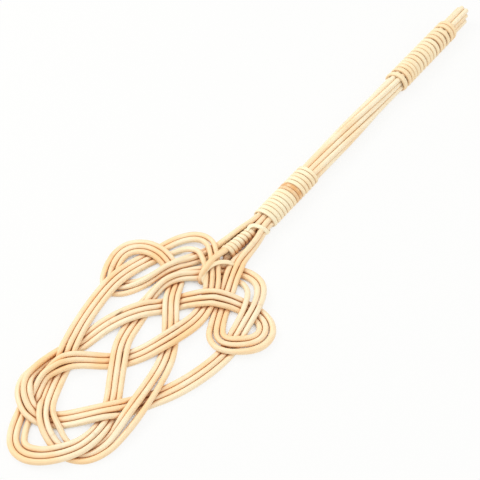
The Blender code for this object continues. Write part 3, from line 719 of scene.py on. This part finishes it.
def cane_values(node, line, rings, radii, radius, joint, found, seed):
    """What each point of a cane tells its material, with the values of both ends repeated."""
    handle = np.clip((line[:, 0] - HANDLE_FROM) / HANDLE_BLEND, 0, 1)[:, None]
    # Painted shade in the seams between canes, weaker on the handle.
    seam = seam_values(line, rings, radii, found) * (SEAM_SHARE - SEAM_LOSS * handle)
    # Painted shade on the canes under the bindings.
    for low, high in ((NECK_FROM, NECK_TO), (GRIP_FROM, GRIP_TO)):
        inside = np.minimum(line[:, 0] - PLAN_SHIFT.x - low, high + PLAN_SHIFT.x - line[:, 0])
        wrapped = np.clip((inside - WRAPPED_FROM) / WRAPPED_BLEND, 0, 1)[:, None]
        seam = np.maximum(seam, WRAPPED_SEAM_SHADE * wrapped)
    # The shelter value is painted as shade in the colour; the tie cane gets more of it under its
    # coil.
    shelter = shelter_values(line, rings, found, radius) * (1 - SHELTER_LOSS * handle)
    if node == "tie_cane":
        shade_end = FORK_FROM + COIL_SHADE_END + PLAN_SHIFT.x
        under = eased_step((shade_end - rings[:, :, 0]) / COIL_SHADE_BLEND)
        depth = (COIL_SHADE_TOP - rings[:, :, 2]) / COIL_SHADE_DEPTH
        shelter = np.maximum(shelter, under * np.clip(depth, 0, COIL_SHADE_MOST))
    drift = TONE_SWING * smooth_values(len(line), TONE_SPACING, seed)[:, None]
    tone = np.clip(TONE_MIDDLE + drift - TONE_LOSS * handle, TONE_LEAST, 1)
    mark = scar_values(line, rings, radius, joint * JOINT_MARK)
    values = {"crevice": seam, "shelter": shelter, "tone": tone, "mark": mark}
    for key, value in values.items():
        value = np.broadcast_to(value, rings.shape[:2])
        values[key] = np.concatenate((value[:1], value, value[-1:]))
    return values


def build_cane(node, name, seed):
    """A round cane along its CAD middle line, with its joints, small bends and sawn ends."""
    sizes = bpy.context.scene.beater_sizes
    line = centre_line(node).copy()
    count = len(line)
    found = neighbours(node)
    radius = sizes.cane_diameter / 2
    radii = cane_radii(line, found, radius, sizes.cane_fullness)
    line[:, 2] = np.maximum(line[:, 2], radii - RESTING_FLAT)
    tangent, sides, ups = carried_frames(line)
    travel = travelled(line)
    swell = (1 + SWELL * smooth_values(count, SWELL_SPACING, seed)
             + RIPPLE * smooth_values(count, RIPPLE_SPACING, seed + 1))[:, None]
    oval = OVALNESS * smooth_values(count, OVAL_SPACING, seed + 2)[:, None]
    offset = np.random.RandomState(seed + 3).uniform(*FIRST_JOINT) * JOINT_SPACING
    to_joint = np.abs((travel - offset + JOINT_SPACING / 2) % JOINT_SPACING - JOINT_SPACING / 2)
    joint = np.clip(1 - to_joint / JOINT_HALF_LENGTH, 0, 1)[:, None] ** 2
    angles = 2 * math.pi * np.arange(CANE_SIDES) / CANE_SIDES
    flutes = (1 + THREE_FLUTES * np.sin(3 * angles + seed)
              + FIVE_FLUTES * np.sin(5 * angles + 2 * seed))
    girth = radii[:, None] * swell * flutes * (1 + oval * np.cos(2 * angles)) + joint * JOINT_RISE
    rings = line[:, None, :] + girth[:, :, None] * (
        np.cos(angles)[:, None] * sides[:, None, :] + np.sin(angles)[:, None] * ups[:, None, :])
    rings[:, :, 2] = np.maximum(rings[:, :, 2], 0.0)
    inner = 1 - END_ROUNDING / radius
    first = line[0] + (rings[0] - line[0]) * inner - tangent[0] * END_ROUNDING
    last = line[-1] + (rings[-1] - line[-1]) * inner + tangent[-1] * END_ROUNDING
    values = cane_values(node, line, rings, radii, radius, joint, found, seed + 4)
    rings = np.concatenate((first[None], rings, last[None]))
    travel = np.concatenate(([travel[0] - END_ROUNDING], travel, [travel[-1] + END_ROUNDING]))
    item = start_piece(name)
    fill_run(item, rings, travel,
             [finish("peeled_rattan_cane"), finish("sawn_rattan_pith")], values)
    hand_over(item, node)


def arms_at(nodes):
    """The straight arms of the named canes up to the butt, each with rising x."""
    threshold = PLAN_SHIFT.x + FORK_FROM - ARM_LEAD
    arms = []
    for node in nodes:
        line = centre_line(node)
        for arm in (line, line[::-1]):
            if arm[0, 0] < BUTT_REACH:
                continue
            inside = arm[:, 0] > threshold
            count = len(arm) if inside.all() else int(np.argmin(inside))
            arms.append(arm[:count][::-1])
    return arms


def wound_points(arms, start, end, weights, reach, phase):
    """Points and outward directions of a strip drawn tight round the arms."""
    turns = len(weights)
    edges = np.concatenate(([0.0], np.cumsum(weights))) / sum(weights)
    marks = np.arange(turns * STRIP_POINTS + 1) / STRIP_POINTS
    stations = start + (end - start) * np.interp(marks, np.arange(turns + 1), edges)
    angles = 2 * math.pi * marks + phase
    out = np.stack((np.cos(angles), np.sin(angles)), axis=1)
    middles, supports = [], []
    for along, direction in zip(stations, out):
        near = [arm for arm in arms if along >= arm[0, 0] - ARM_SLACK]
        centres = np.array(
            [[np.interp(along, arm[:, 0], arm[:, j]) for j in (1, 2)] for arm in near])
        middles.append(centres.mean(axis=0))
        supports.append(((centres - middles[-1]) @ direction).max() + reach)
    # The strip bulges a little over the hollows, so its path is rounder than the bundle's outline.
    rounded = np.array(supports)
    for _ in range(2):
        rounded = running(rounded, STRIP_ROUNDING, "mean")
    slope = np.gradient(rounded) * STRIP_POINTS / (2 * math.pi)
    round_way = np.stack((-out[:, 1], out[:, 0]), axis=1)
    section = np.array(middles) + out * rounded[:, None] + round_way * slope[:, None]
    zeros = np.zeros((len(out), 1))
    return np.hstack((stations[:, None], section)), np.hstack((zeros, out))


def strip_run(item, places, outward, widths, thickness, tones, stain, seams, shaded):
    """Sweep the strip's section along its places, domed side outward."""
    tangent = np.gradient(places, axis=0)
    tangent /= np.linalg.norm(tangent, axis=1)[:, None]
    out = outward - tangent * np.sum(outward * tangent, axis=1)[:, None]
    out /= np.linalg.norm(out, axis=1)[:, None]
    side = np.cross(tangent, out)
    section = np.array(STRIP_SECTION)
    rings = (places[:, None, :]
             + side[:, None, :] * (section[None, :, 0] * widths[:, None])[:, :, None]
             + out[:, None, :] * (section[None, :, 1] * thickness[:, None])[:, :, None])
    rings[:, :, 2] = np.maximum(rings[:, :, 2], 0.0)
    # Painted shade: the edges darken toward the grooves between turns, and the lower side and the
    # side away from the key lamp darken by the shaded share.
    edge = np.clip((EDGE_FROM - section[:, 1]) / EDGE_BLEND, 0, 1)
    low, high = rings[:, :, 2].min(), rings[:, :, 2].max()
    depth = (high - rings[:, :, 2]) / (high - low) + (PLAN_SHIFT.y - rings[:, :, 1]) * SIDE_SHADE
    values = {
        "crevice": edge[None, :] * seams[:, None],
        "shelter": np.clip(depth * shaded[:, None], 0, 1),
        "tone": np.tile(tones[:, None], (1, len(section))),
        "mark": np.zeros(rings.shape[:2]),
        "stain": np.tile(stain[:, None], (1, len(section))),
    }
    fill_run(item, rings, travelled(places),
             [finish("split_rattan_strip"), finish("sawn_rattan_pith")], values)


def plan_run(places):
    """A smooth run through places that are given on the plan."""
    return curve_through([Vector(place) + PLAN_SHIFT for place in places], STRIP_STEP)


def away_from(places):
    """Directions from the handle's middle out to each place."""
    out = places - np.array((0.0, PLAN_SHIFT.y + HANDLE_ASIDE, HANDLE_HEIGHT))
    out[:, 0] = 0.0
    return out / np.linalg.norm(out, axis=1)[:, None]


def binding(name, node, ends, weights, phase=0.0, lead=None, stained=False, shaded=0.25,
            tone_range=(0.0, 0.45), groove_range=(0.30, 0.80)):
    """A binding: its turns, and where it has them its free lead or tail, as one strip."""
    sizes = bpy.context.scene.beater_sizes
    arms = arms_at(["tie_cane"] if node == "fork_wrap" else ALL_CANES)
    start, end = (PLAN_SHIFT.x + value for value in ends)
    on_grip = node == "grip_wrap"
    width = sizes.grip_strip_width if on_grip else sizes.strip_width
    crown = sizes.grip_strip_thickness if on_grip else sizes.strip_thickness
    reach = (sizes.cane_diameter + crown) / 2 + STRIP_CLEARANCE
    places, outward = wound_points(arms, start, end, weights, reach, phase)
    turns = len(weights)
    pitches = np.array(weights) * (ends[1] - ends[0]) / sum(weights)
    middles = (np.arange(turns) + 0.5) * STRIP_POINTS
    room = np.interp(np.arange(len(places)), middles, pitches)
    widths = np.minimum(width, room * TURN_FILL)
    rng = np.random.RandomState(sizes.random_seed + turns)
    marks = np.arange(len(places)) / STRIP_POINTS
    tones = np.interp(marks, np.arange(turns + 2), rng.uniform(*tone_range, turns + 2))
    halves = np.arange(turns * 2 + 2)
    seams = np.interp(marks * 2, halves, rng.uniform(*groove_range, len(halves)))
    thickness = np.full(len(places), crown)
    shading = np.full(len(places), shaded)
    if lead is not None:
        free = plan_run(lead)
        ends_and_tangents = [free[-1 - HOP_REACH], free[-1], places[0], places[HOP_REACH]]
        hop = curve_through(ends_and_tangents, STRIP_STEP)[HOP_TRIM:-HOP_TRIM]
        free_out = away_from(free) if node == "neck_wrap" else np.tile(TAIL_OUTWARD, (len(free), 1))
        outward = np.vstack((free_out, away_from(hop), outward))
        places = np.vstack((free, hop, places))
        tip = np.clip(TIP_SHARE + np.arange(len(free)) / TIP_SAMPLES, TIP_SHARE, 1.0)
        hop_width = np.linspace(sizes.thin_strip_width, widths[0], len(hop))
        widths = np.concatenate((tip * sizes.thin_strip_width, hop_width, widths))
        hop_thickness = np.linspace(sizes.thin_strip_thickness, crown, len(hop))
        thickness = np.concatenate(
            (np.full(len(free), sizes.thin_strip_thickness), hop_thickness, thickness))
        added = np.ones(len(free) + len(hop))
        tones = np.concatenate((added * LEAD_TONE, tones))
        seams = np.concatenate((added * LEAD_GROOVE, seams))
        shading = np.concatenate((added * LEAD_SHADING, shading))
    places = eased(places, STRIP_EASING)
    uneven = smooth_values(len(widths), STRIP_UNEVEN_SPACING, sizes.random_seed + STRIP_SEED)
    widths = widths * (1 + STRIP_UNEVEN * uneven)
    stain = np.zeros(len(places))
    if stained:
        patches = smooth_values(len(places), STAIN_SPACING, STAIN_SEED)
        stain = within(places[:, 0], *(PLAN_SHIFT.x + value for value in STAIN_SPAN), STAIN_EDGE)
        stain = stain * (STAIN_MIDDLE + STAIN_SWING * patches)
    item = start_piece(name)
    strip_run(item, places, outward, widths, thickness, tones, stain, seams, shading)
    hand_over(item, node)


class BEATER_OT_woven_canes(bpy.types.Operator):
    """Make the three canes that run side by side through the woven head"""
    bl_idname = "beater.woven_canes"
    bl_label = "Woven canes"

    def execute(self, context):
        seed = context.scene.beater_sizes.random_seed
        for k, (node, (name, slot)) in enumerate(KNOT_CANES.items()):
            build_cane(node, name, seed + SEED_STEP * k)
        return {"FINISHED"}


class BEATER_OT_tie_cane(bpy.types.Operator):
    """Make the cane bent double round the crossing at the neck"""
    bl_idname = "beater.tie_cane"
    bl_label = "Tie cane"

    def execute(self, context):
        seed = context.scene.beater_sizes.random_seed + TIE_SEED
        build_cane("tie_cane", "neck_tie_cane", seed)
        return {"FINISHED"}


class BEATER_OT_handle_canes(bpy.types.Operator):
    """Make the two straight canes that fill the handle"""
    bl_idname = "beater.handle_canes"
    bl_label = "Handle canes"

    def execute(self, context):
        seed = context.scene.beater_sizes.random_seed + HANDLE_SEED
        for k, (node, (name, slot)) in enumerate(FILLER_CANES.items()):
            build_cane(node, name, seed + SEED_STEP * k)
        return {"FINISHED"}


class BEATER_OT_fork_binding(bpy.types.Operator):
    """Make the coil round the tie cane in the fork, with the strip's tail over the crossing"""
    bl_idname = "beater.fork_binding"
    bl_label = "Fork binding"

    def execute(self, context):
        binding("fork_binding", "fork_wrap", (FORK_FROM, FORK_TO), [1.0] * FORK_TURNS,
                phase=FORK_PHASE, lead=TAIL_PLACES, shaded=1.45, tone_range=(0.1, 0.4),
                groove_range=(0.8, 1.0))
        return {"FINISHED"}


class BEATER_OT_neck_binding(bpy.types.Operator):
    """Make the binding where the legs meet, with the strip's lead from the fork"""
    bl_idname = "beater.neck_binding"
    bl_label = "Neck binding"

    def execute(self, context):
        binding("neck_binding", "neck_wrap", (NECK_FROM, NECK_TO), NECK_SPACING,
                lead=LEAD_PLACES, stained=True)
        return {"FINISHED"}


class BEATER_OT_grip_binding(bpy.types.Operator):
    """Make the binding of the grip, a little looser at both of its ends"""
    bl_idname = "beater.grip_binding"
    bl_label = "Grip binding"

    def execute(self, context):
        binding("grip_binding", "grip_wrap", (GRIP_FROM, GRIP_TO), GRIP_SPACING,
                tone_range=(0.30, 0.90), groove_range=(0.55, 1.0))
        return {"FINISHED"}


def background_rays(tree):
    """1 for rays that show the background: to the camera, or by way of gloss or glass."""
    path = add_node(tree, "ShaderNodeLightPath")
    seen = path.outputs["Is Camera Ray"]
    for name in ("Is Glossy Ray", "Is Transmission Ray"):
        seen = combined(tree, "MAXIMUM", seen, path.outputs[name])
    return seen


def lay_floor(colour):
    """A large plain floor, in the backdrop's own colour where no shadow falls."""
    bpy.ops.object.select_all(action="DESELECT")
    bpy.ops.mesh.primitive_plane_add(size=FLOOR_SIZE, location=(0, 0, 0))
    floor = bpy.context.object
    floor.name = "floor"
    bpy.ops.object.mode_set(mode="EDIT")
    bpy.ops.mesh.subdivide(number_cuts=FLOOR_CUTS)
    bpy.ops.object.mode_set(mode="OBJECT")
    # Matt white backdrop paper: no highlight, so only the soft shadow under the beater shows.
    material, tree, shader = new_material("matt_white_backdrop")
    shader.inputs["Base Color"].default_value = colour
    shader.inputs["Roughness"].default_value = 0.9
    shader.inputs["Specular IOR Level"].default_value = 0.1
    glow = add_node(tree, "ShaderNodeEmission", values={"Color": colour, "Strength": 1.0})
    open_sky = add_node(
        tree, "ShaderNodeAmbientOcclusion", {"samples": 8}, {"Distance": SHADOW_REACH})
    glow_share = ranged(tree, open_sky.outputs["AO"], *SHADOW_FADE)
    both = add_node(tree, "ShaderNodeMixShader", links={
        0: combined(tree, "MULTIPLY", background_rays(tree), glow_share),
        1: shader.outputs["BSDF"], 2: glow.outputs["Emission"]})
    output = next(n for n in tree.nodes if n.type == "OUTPUT_MATERIAL")
    tree.links.new(both.outputs["Shader"], output.inputs["Surface"])
    floor.data.materials.append(material)


def studio_world(colour):
    """Even white light, while the camera sees the far wall in the floor's own colour."""
    world = bpy.data.worlds.new("studio")
    world.use_nodes = True
    tree = world.node_tree
    lights = tree.nodes["Background"]
    lights.inputs["Color"].default_value = (1.0, 1.0, 1.0, 1.0)
    lights.inputs["Strength"].default_value = WORLD_LIGHT
    wall = add_node(tree, "ShaderNodeBackground", values={"Color": colour, "Strength": 1.0})
    either = add_node(tree, "ShaderNodeMixShader", links={
        0: background_rays(tree), 1: lights.outputs["Background"], 2: wall.outputs["Background"]})
    tree.links.new(either.outputs["Shader"], tree.nodes["World Output"].inputs["Surface"])
    return world


def facing(direction):
    """The rotation of a lamp or camera that looks in a direction."""
    return direction.to_track_quat("-Z", "Y").to_euler()


class BEATER_OT_stage(bpy.types.Operator):
    """Lay the pale floor, the soft lamps and the camera"""
    bl_idname = "beater.stage"
    bl_label = "Stage"

    def execute(self, context):
        scene = context.scene
        colour = colour4(scene.beater_colours.background)
        lay_floor(colour)
        scene.world = studio_world(colour)
        for name, (place, size, power) in LAMPS.items():
            bpy.ops.object.light_add(type="AREA", location=place)
            lamp = context.object
            lamp.name = name
            lamp.data.shape = "DISK"
            lamp.data.size = size
            lamp.data.energy = power
            lamp.rotation_euler = facing(-Vector(place))
        bpy.ops.object.camera_add(location=CAMERA_PLACE)
        camera = context.object
        camera.name = "photo_camera"
        camera.rotation_euler = facing(CAMERA_TARGET - CAMERA_PLACE)
        camera.data.lens = CAMERA_LENS
        camera.data.sensor_width = 36.0
        camera.data.clip_start = 0.01
        scene.camera = camera
        scene.view_settings.view_transform = "Standard"
        return {"FINISHED"}


class BEATER_PT_panel(bpy.types.Panel):
    """The beater's sizes, colours and pieces"""
    bl_label = "Carpet beater"
    bl_idname = "BEATER_PT_panel"
    bl_space_type = "VIEW_3D"
    bl_region_type = "UI"
    bl_category = "Carpet beater"

    def draw(self, context):
        for group in (context.scene.beater_sizes, context.scene.beater_colours):
            box = self.layout.box()
            for name in group.__annotations__:
                box.prop(group, name)
        for operator in OPERATORS:
            self.layout.operator(operator.bl_idname)


OPERATORS = (
    BEATER_OT_woven_canes, BEATER_OT_tie_cane, BEATER_OT_handle_canes, BEATER_OT_fork_binding,
    BEATER_OT_neck_binding, BEATER_OT_grip_binding, BEATER_OT_stage,
)
CLASSES = (BeaterSizes, BeaterColours, *OPERATORS, BEATER_PT_panel)


def register():
    """Add the classes and the two groups of values to Blender."""
    for item in CLASSES:
        bpy.utils.register_class(item)
    bpy.types.Scene.beater_sizes = PointerProperty(type=BeaterSizes)
    bpy.types.Scene.beater_colours = PointerProperty(type=BeaterColours)


def unregister():
    """Take them out again."""
    del bpy.types.Scene.beater_sizes
    del bpy.types.Scene.beater_colours
    for item in reversed(CLASSES):
        bpy.utils.unregister_class(item)


def main():
    """Make all the pieces and the stage."""
    register()
    bpy.ops.beater.woven_canes()
    bpy.ops.beater.tie_cane()
    bpy.ops.beater.handle_canes()
    bpy.ops.beater.fork_binding()
    bpy.ops.beater.neck_binding()
    bpy.ops.beater.grip_binding()
    bpy.ops.beater.stage()


if __name__ == "__main__":
    main()
